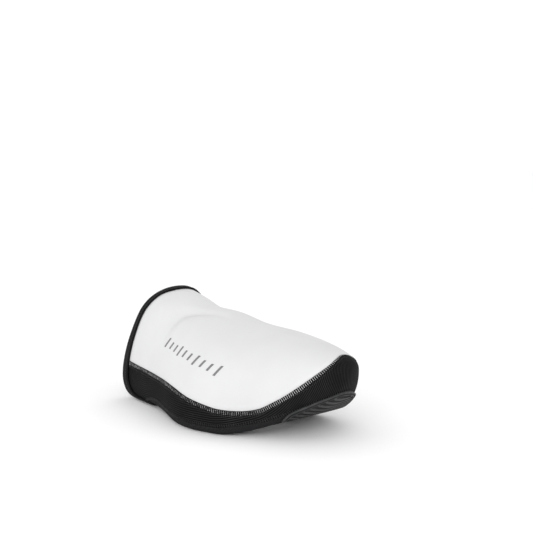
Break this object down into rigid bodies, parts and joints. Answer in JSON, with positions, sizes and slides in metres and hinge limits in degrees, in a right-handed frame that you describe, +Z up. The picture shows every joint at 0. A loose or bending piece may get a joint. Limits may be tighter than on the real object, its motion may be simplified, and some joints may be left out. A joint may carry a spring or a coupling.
{
  "type": "cycling toe cover",
  "caption": "Close-fitting cloth cap for the front of a right cycling shoe, open to the rear, with a black side band, an opening for the cleat and a ribbed rubber patch under the toe.",
  "frame": {"origin": "middle of the outline seen from above, on the surface the flat sole rests on", "axes": "-Y towards the toe, +Y out of the rear opening, +X the inner (medial) side of a right foot, +Z up"},
  "size_m": [0.1089, 0.2151, 0.0937],
  "materials": {
    "white_softshell": "smooth matte laminate",
    "black_side_fabric": "matte, finely ribbed",
    "black_sole_fabric": "matte woven",
    "black_binding": "matte elastic knit",
    "grey_rubber": "satin, ribbed",
    "grey_thread": "satin sewing thread",
    "black_thread": "satin sewing thread",
    "grey_print": "reflective film"
  },
  "bodies": {
    "root": {"upper_panel": "white_softshell", "side_panel": "black_side_fabric", "sole_panel": "black_sole_fabric", "rear_binding": "black_binding", "toe_patch": "grey_rubber"}
  },
  "joints": []
}
